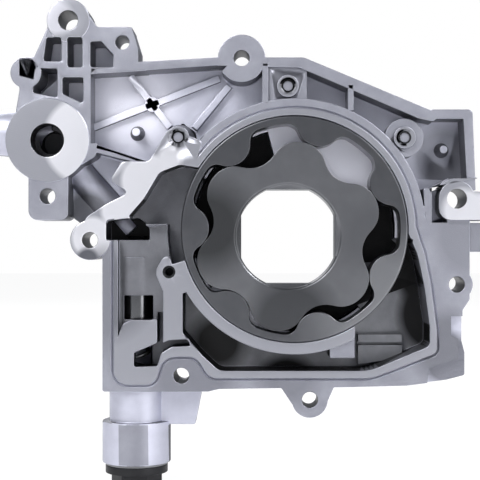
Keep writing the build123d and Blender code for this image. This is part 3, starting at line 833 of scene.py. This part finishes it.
    def is_oily(self, x: float, z: float) -> bool:
        """Tell whether a place lies inside the cavities that hold oil.

        Args:
            x: place in X.
            z: place in Z.

        Returns:
            True inside the cavities.
        """
        from_rotors = math.hypot(x - self.rotor_centre[0], z - self.rotor_centre[1])
        left = -77.5 < x < -36.0 and -61.5 < z < 33.0 and 28.0 * (x + 80.0) > 30.0 * (z - 8.0)
        low = -45.0 < x < 60.2 and -60.0 < z < 5.0
        return from_rotors < 51.0 or left or low

    def region(self, face: bmesh.types.BMFace, walls: BVHTree) -> Region:
        """Name the kind of surface that a face belongs to.

        Args:
            face: face of the casting.
            walls: tree of all faces, to see what the face looks at.

        Returns:
            The kind of surface.
        """
        middle = face.calc_center_median() / MM
        from_rotors = math.hypot(middle.x - self.rotor_centre[0], middle.z - self.rotor_centre[1])
        to_front = -face.normal.y
        if to_front > 0.9 and middle.y < 0.1:
            return Region.MILLED
        if to_front > 0.9 and middle.y < 3.0:
            return Region.LAND
        bores = list(self.holes.values()) + [(place, self.screw_radius + 0.8) for place in self.screws]
        for (x, z), radius in bores:
            if middle.y > 0.2 and math.hypot(middle.x - x, middle.z - z) < radius + 0.1:
                return Region.BORE
        in_cavity = self.is_oily(middle.x, middle.z) and 0.0 < middle.y < 20.5
        # Front-facing faces inside the cavities get darker tones, nearly black deep down: painted shade.
        if to_front > 0.5 and in_cavity:
            if from_rotors < 48.0 and abs(middle.y - self.pocket_depth) < 0.2:
                return Region.TURNED
            if from_rotors < 46.0 or (middle.y > 17.0 and middle.x < -55.0):
                return Region.DEEP_SHADE
            return Region.SUCTION_FLOOR if middle.y > 15.5 else Region.SHADED_CAVITY_FLOOR
        if to_front > 0.3:
            return Region.FLOOR
        if to_front < -0.5:
            return Region.OUTSIDE
        # A wall that looks at another part of the casting within 70 mm lies in a hollow and gets a darker tone: painted
        # shade.
        start = face.calc_center_median() + face.normal * 0.05 * MM
        if walls.ray_cast(start, face.normal, 70.0 * MM)[0] is None:
            return Region.OUTSIDE
        return Region.DEEP_SHADE if in_cavity else Region.INNER_WALL

    def finishes(self) -> list:
        """Finish of each region, in the order of the regions."""
        outlet, _ = self.holes["oil_outlet"]
        left, _ = self.holes["left_bolt_hole"]
        arm, _ = self.holes["arm_bolt_hole"]
        right, _ = self.holes["right_bolt_hole"]
        bracket, _ = self.holes["bracket_bolt_hole"]
        # The bright patches on the milled faces are painted highlights; the darker ones are painted shade.
        bright = "#d9d9df"
        milled = (
            Patch((outlet[0] + 17.0, outlet[1]), 18.5, 2.5, bright),
            Patch((left[0] + 1.0, left[1] + 1.0), 8.6, 2.0, bright),
            Patch((-70.0, 11.0), 8.5, 2.0, bright),
            Patch((-59.0, 23.5), 11.0, 2.0, bright),
            Patch((-49.5, 33.0), 5.0, 2.5, bright),
            Patch((arm[0] + 3.0, arm[1] - 5.0), 9.0, 3.0, bright),
            Patch((arm[0] + 14.0, arm[1] - 5.0), 8.0, 3.0, bright),
            Patch((right[0], right[1] + 6.0), 6.0, 2.5, bright),
            Patch((bracket[0] - 5.0, bracket[1] + 1.0), 7.0, 3.0, "#c4c4cc"),
            Patch((-77.0, -24.0), 18.0, 10.0, "#787980"),
            Patch((left[0] - 1.0, left[1] - 8.0), 4.5, 2.0, "#62636a"),
            Patch((-19.5, 75.0), 8.5, 2.0, "#74757d"),
            Patch((9.2, -68.7), 8.5, 2.0, "#787981"),
        )
        # The darker patches on the land are painted shade.
        land = (
            Patch((-84.0, -24.0), 24.0, 12.0, "#85868e"),
            Patch((66.0, -46.0), 14.0, 8.0, "#7c7d85"),
            Patch((78.0, 0.0), 16.0, 6.0, "#8a8b94"),
            Patch((0.0, -58.0), 12.0, 8.0, "#85868f"),
            Patch((-40.0, -60.0), 16.0, 8.0, "#85868f"),
        )
        # The darker patches on the outer skin, at the valve tube's foot and the stub, are painted shade.
        outside = (
            Patch((-65.0, -88.0), 24.0, 4.0, "#5b5c62"),
            Patch((-122.0, 69.0), 16.0, 3.0, "#57585e"),
        )
        # The lighter and darker patches on the floors are painted light and painted shade.
        floors = (
            Patch((67.0, 34.0), 13.0, 5.0, "#a2a3ae"),
            Patch((-86.0, 8.0), 12.0, 5.0, "#7a7b82"),
            Patch((-66.0, 58.0), 18.0, 10.0, "#ececf8"),
            Patch((-98.0, 76.0), 18.0, 6.0, "#f4f4ff"),
            Patch((68.0, -52.0), 11.0, 4.0, "#82838c"),
            Patch((24.0, 55.0), 20.0, 10.0, "#adaebb"),
        )
        # The nearly black patches in the suction cavity, along its walls, are a painted shadow.
        suction = (
            Patch((66.0, -12.0), 20.0, 5.0, "#222223"),
            Patch((66.0, -34.0), 17.0, 5.0, "#262627"),
            Patch((-30.0, -46.0), 12.0, 8.0, "#2e2e2f"),
            Patch((0.0, -66.0), 14.0, 5.0, "#1c1c1d"),
        )
        # The floor tone is a lighter copy of the skin, painted light; the wall, cavity, suction and deep tones are
        # darker copies, painted shade, nearly black deep in the cavities.
        return [
            MilledFace("face_milled_aluminium", "#9a9ba3", milled),
            CastSkin("die_cast_aluminium_flange", "#9d9ea8", "#91929c", land, (0.36, 0.5)),
            CastSkin("die_cast_aluminium_floor_painted_light", "#cbccda", "#bfc0ce", floors),
            CastSkin("die_cast_aluminium_wall_painted_shade", "#76777e", "#696a70"),
            CastSkin("die_cast_aluminium_blasted", "#82838c", "#777880", outside),
            CastSkin("die_cast_aluminium_cavity_painted_shade", "#77787e", "#6a6b70"),
            CastSkin("die_cast_aluminium_suction_painted_shadow", "#8d8e93", "#7e7f84", suction),
            CastSkin("die_cast_aluminium_deep_painted_shade", "#1f1f20", "#171718"),
            # The bored pocket floor is brighter than the milled face: painted light.
            MilledFace("bored_aluminium_pocket_floor_painted_light", "#d8d8e2", (), self.rotor_centre, 0.8),
            # The dark tone of the drilled bores is painted shade inside the holes.
            FineSteel("drilled_aluminium_painted_shade", "#3c3c3f", 0.4, 0.4, 0.5, 0.85),
        ]

    def build(self) -> None:
        """Build and dress the casting."""
        self.read_holes()
        piece = to_object(merged("pump_housing"), "pump_housing_casting")
        round_edges(piece, self.edge_mm)
        combine(piece, Cut.AWAY, self.cleared())
        combine(piece, Cut.ON, self.arm() + self.ribs() + self.pads() + self.suction_forms())
        combine(piece, Cut.AWAY, self.drilled())
        dress(piece, *self.finishes())
        shape = bmesh.new()
        shape.from_mesh(piece.data)
        bmesh.ops.remove_doubles(shape, verts=shape.verts, dist=0.003 * MM)
        bmesh.ops.dissolve_degenerate(shape, dist=0.004 * MM, edges=shape.edges)
        shape.normal_update()
        for edge in shape.edges:
            edge.smooth = edge.calc_face_angle(0.0) < math.radians(50)
        walls = BVHTree.FromBMesh(shape)
        for face in shape.faces:
            face.material_index = self.region(face, walls).value
        shape.to_mesh(piece.data)
        shape.free()
        finish_piece(piece, Body.HOUSING, "cast_housing", 0.0, "pump_housing")


@dataclass
class ScrewThreads:
    """Threads cut in the cover screws' holes."""

    screws: tuple[Place, ...]
    radius: float = 2.1
    height: float = 0.35
    pitch: float = 0.8
    start: float = 1.2
    turns: int = 14
    steps: int = 20

    def add_thread(self, shape: Shape, centre: Place) -> None:
        """Add one thread's ridge, turned along its helix.

        Args:
            shape: shape that gets the thread.
            centre: X and Z of the hole.
        """
        x, z = centre
        reach = self.radius + 0.03
        half = self.pitch * 0.45
        profile = ((reach, self.start - half), (self.radius - self.height, self.start), (reach, self.start + half))
        face = shape.faces.new([shape.verts.new(((x + out) * MM, depth * MM, z * MM)) for out, depth in profile])
        rise = self.pitch / self.steps * MM
        bmesh.ops.spin(
            shape, geom=[face, *face.edges, *face.verts], cent=(x * MM, 0, z * MM), axis=(0, 1, 0),
            dvec=(0, rise, 0), angle=self.turns * math.tau, steps=self.turns * self.steps, use_merge=False,
        )

    def build(self) -> None:
        """Build and dress the threads."""
        shape = bmesh.new()
        for centre in self.screws:
            self.add_thread(shape, centre)
        bmesh.ops.recalc_face_normals(shape, faces=shape.faces)
        piece = to_object(shape, "cover_screw_threads")
        dress(piece, FineSteel("tapped_aluminium", "#55565a", 0.35, 0.3, 0.5, 0.85))
        finish_piece(piece, Body.HOUSING, "cast_housing", 0.0)


@dataclass
class RotorSet:
    """Inner and outer rotor with rounded edges and ground faces."""

    centre: Place
    edge_mm: float = 0.3

    def build(self) -> None:
        """Build and dress both rotors."""
        outer = to_object(merged("outer_rotor"), "outer_rotor_ring")
        # The lighter area at the lower right of the outer rotor is a painted highlight.
        light = (Patch((self.centre[0] + 34.0, self.centre[1] - 30.0), 26.0, 20.0, "#848589"),)
        dress(outer, SinteredSteel("sintered_steel_outer_rotor", self.centre, "#616266", "#595a5e", light))
        finish_piece(outer, Body.OUTER_ROTOR, "sintered_rotor", self.edge_mm, "outer_rotor")
        inner = to_object(merged("inner_rotor"), "inner_rotor_star")
        # The darker areas at the left and bottom of the inner rotor are painted shade, the lighter one at the right a
        # painted highlight.
        tones = (
            Patch((-34.0, 4.0), 18.0, 14.0, "#48494b"),
            Patch((2.0, -36.0), 18.0, 10.0, "#4f5053"),
            Patch((36.0, 0.0), 14.0, 10.0, "#696a6e"),
        )
        dress(inner, SinteredSteel("sintered_steel_inner_rotor", (0.0, 0.0), "#77787c", "#707175", tones))
        finish_piece(inner, Body.INNER_ROTOR, "sintered_rotor", self.edge_mm, "inner_rotor")


@dataclass
class ReliefValve:
    """Relief valve: hollow piston, coil spring, hexagon plug and its washer."""

    wire: float = 1.8
    turns: int = 8
    steps: int = 36
    edge_mm: float = 0.35

    def spring(self) -> None:
        """Wind the spring from round wire inside the box of its CAD node."""
        low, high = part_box("relief_valve_spring")
        axis = Vector(((low.x + high.x) / 2, (low.y + high.y) / 2, 0.0))
        radius = (high.x - low.x) / 2 - self.wire / 2 * MM
        bottom = low.z + self.wire / 2 * MM
        rise = (high.z - low.z - self.wire * MM) / (self.turns * self.steps)
        shape = bmesh.new()
        seat = Matrix.Translation((axis.x + radius, axis.y, bottom)) @ Matrix.Rotation(math.pi / 2, 4, "X")
        bmesh.ops.create_circle(shape, cap_ends=True, segments=12, radius=self.wire / 2 * MM, matrix=seat)
        bmesh.ops.spin(
            shape, geom=[*shape.faces, *shape.edges, *shape.verts], cent=axis, axis=(0, 0, 1),
            dvec=(0, 0, rise), angle=self.turns * math.tau, steps=self.turns * self.steps, use_merge=False,
        )
        bmesh.ops.recalc_face_normals(shape, faces=shape.faces)
        piece = to_object(shape, "relief_spring_coil")
        dress(piece, FineSteel("drawn_spring_wire", "#77787b", 0.35))
        finish_piece(piece, Body.HOUSING, "spring_steel", 0.0, "relief_valve_spring")

    def build(self) -> None:
        """Build and dress the valve's pieces."""
        piston = to_object(merged("relief_valve_piston"), "relief_piston_ground")
        dress(piston, FineSteel("ground_hardened_steel", "#6c6d70", 0.16, 0.15))
        finish_piece(piston, Body.RELIEF_PISTON, "ground_steel", 0.25, "relief_valve_piston")
        self.spring()
        plug = to_object(merged("relief_valve_plug"), "relief_plug_hexagon")
        dress(plug, FineSteel("black_phosphated_steel", "#3a3a3c", 0.42))
        finish_piece(plug, Body.HOUSING, "black_plug", self.edge_mm, "relief_valve_plug")
        washer = to_object(merged("relief_plug_washer"), "relief_plug_sealing_washer")
        dress(washer, FineSteel("soft_aluminium_washer", "#8a8b8e", 0.35))
        finish_piece(washer, Body.HOUSING, "seal_washer", 0.15, "relief_plug_washer")


@dataclass
class CrankSeal:
    """Crankshaft seal: pressed case, rubber lip and the garter spring round it."""

    def build(self) -> None:
        """Build and dress the seal's pieces."""
        case = to_object(merged("crank_seal_case"), "crank_seal_pressed_case")
        dress(case, FineSteel("pressed_sheet_steel", "#85868a", 0.3))
        finish_piece(case, Body.HOUSING, "seal_case", 0.25, "crank_seal_case")
        lip = to_object(merged("crank_seal_lip"), "crank_seal_rubber")
        dress(lip, SealRubber())
        finish_piece(lip, Body.HOUSING, "seal_rubber", 0.2, "crank_seal_lip")
        garter = to_object(merged("crank_seal_garter_spring"), "crank_seal_garter")
        dress(garter, FineSteel("wound_garter_wire", "#77787b", 0.35))
        finish_piece(garter, Body.HOUSING, "spring_steel", 0.0, "crank_seal_garter_spring")


@dataclass
class GalleryPlug:
    """Screw plug and washer that close the gallery at the spigot's end."""

    def build(self) -> None:
        """Build and dress the plug and its washer."""
        plug = to_object(merged("gallery_plug"), "gallery_plug_hexagon")
        dress(plug, FineSteel("black_phosphated_gallery_plug", "#3a3a3c", 0.42))
        finish_piece(plug, Body.HOUSING, "black_plug", 0.3, "gallery_plug")
        washer = to_object(merged("gallery_plug_washer"), "gallery_sealing_washer")
        dress(washer, FineSteel("soft_aluminium_gallery_washer", "#8a8b8e", 0.35))
        finish_piece(washer, Body.HOUSING, "seal_washer", 0.15, "gallery_plug_washer")


@dataclass(frozen=True)
class Studio:
    """Pale floor, soft lamps and the camera at the photograph's viewing angle."""

    scale: float = 0.42
    camera_distance: float = 500.0
    axis_pixel: Place = (256.0, 246.0)
    origin_pixel: Place = (288.0, 236.5)
    sensor: float = 36.0
    paper_glow: float = 1.08

    def camera(self) -> None:
        """Place the camera and frame the photograph's view."""
        width = PHOTO_PIXELS * self.scale
        data = bpy.data.cameras.new("photo_camera")
        data.sensor_width = self.sensor
        data.lens = self.sensor * self.camera_distance / width
        data.shift_x = (PHOTO_PIXELS / 2 - self.axis_pixel[0]) / PHOTO_PIXELS
        data.shift_y = (self.axis_pixel[1] - PHOTO_PIXELS / 2) / PHOTO_PIXELS
        data.clip_start = 0.01
        data.clip_end = 20.0
        camera = bpy.data.objects.new("photo_camera", data)
        x = (self.axis_pixel[0] - self.origin_pixel[0]) * self.scale
        z = (self.origin_pixel[1] - self.axis_pixel[1]) * self.scale
        camera.location = (x * MM, -self.camera_distance * MM, z * MM)
        camera.rotation_euler = (math.pi / 2, 0, 0)
        bpy.context.scene.collection.objects.link(camera)
        bpy.context.scene.camera = camera

    def floor(self) -> None:
        """Lay the floor under the pump."""
        shape = bmesh.new()
        bmesh.ops.create_grid(shape, x_segments=1, y_segments=1, size=4.0)
        bmesh.ops.translate(shape, verts=shape.verts, vec=(0, 0, CAD_BOX[0].z))
        floor = to_object(shape, "studio_floor")
        material = bpy.data.materials.new("studio_paper")
        material.use_nodes = True
        tree = material.node_tree
        tree.nodes.clear()
        paper = add_node(tree, "ShaderNodeBsdfDiffuse", {"Color": linear("#f2f2f2")})
        white = add_node(tree, "ShaderNodeEmission", {"Strength": self.paper_glow})
        rays = add_node(tree, "ShaderNodeLightPath")
        share = multiply(tree, rays.outputs["Is Camera Ray"], 0.85)
        shader = add_node(tree, "ShaderNodeMixShader", links={0: share, 1: paper.outputs[0], 2: white.outputs[0]})
        add_node(tree, "ShaderNodeOutputMaterial", links={"Surface": shader.outputs[0]})
        floor.data.materials.append(material)

    def world(self) -> None:
        """Set a soft grey sky, brighter in front and behind, that the camera sees as white."""
        world = bpy.data.worlds.new("studio_sky")
        world.use_nodes = True
        tree = world.node_tree
        tree.nodes.clear()
        heading = add_node(tree, "ShaderNodeTexCoord").outputs["Generated"]
        ahead = add_node(tree, "ShaderNodeSeparateXYZ", links={"Vector": heading}).outputs["Y"]
        facing = multiply(tree, ahead, ahead)
        strength = ramp(tree, facing, 0.0, 0.8, 0.42, 0.6)
        sky = add_node(tree, "ShaderNodeBackground", {"Color": linear("#c9ccd2")}, {"Strength": strength})
        white = add_node(tree, "ShaderNodeBackground", {"Color": (1, 1, 1, 1), "Strength": 1.0})
        rays = add_node(tree, "ShaderNodeLightPath")
        links = {0: rays.outputs["Is Camera Ray"], 1: sky.outputs[0], 2: white.outputs[0]}
        mixed = add_node(tree, "ShaderNodeMixShader", links=links)
        add_node(tree, "ShaderNodeOutputWorld", links={"Surface": mixed.outputs[0]})
        bpy.context.scene.world = world

    def lamp(self, name: str, place: tuple[float, float, float], size: float, power: float) -> None:
        """Hang one soft square lamp that points at the pump.

        Args:
            name: name of the lamp.
            place: position in metres.
            size: side of the lamp in metres.
            power: strength in watts.
        """
        data = bpy.data.lights.new(name, "AREA")
        data.shape = "SQUARE"
        data.size = size
        data.energy = power
        lamp = bpy.data.objects.new(name, data)
        lamp.location = place
        lamp.rotation_euler = (-Vector(place)).to_track_quat("-Z", "Y").to_euler()
        bpy.context.scene.collection.objects.link(lamp)

    def build(self) -> None:
        """Set up the whole studio."""
        self.camera()
        self.floor()
        self.world()
        self.lamp("key_lamp", (-0.7, -1.0, 0.9), 0.7, 18.0)
        self.lamp("fill_lamp", (0.9, -0.9, 0.2), 0.6, 5.0)
        self.lamp("rim_lamp", (0.8, -0.25, 0.8), 0.4, 8.0)
        self.lamp("back_lamp", (-0.5, 1.0, 0.9), 0.7, 12.0)
        bpy.context.scene.view_settings.view_transform = "Standard"
        LOG.info("studio ready")


def main() -> None:
    """Build the pump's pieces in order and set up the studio."""
    logging.basicConfig(level=logging.INFO)
    low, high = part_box("outer_rotor")
    centre = ((low.x + high.x) / 2 / MM, (low.z + high.z) / 2 / MM)
    casting = Casting(centre)
    casting.build()
    ScrewThreads(casting.screws).build()
    RotorSet(centre).build()
    ReliefValve().build()
    CrankSeal().build()
    GalleryPlug().build()
    Studio().build()


if __name__ == "__main__":
    main()
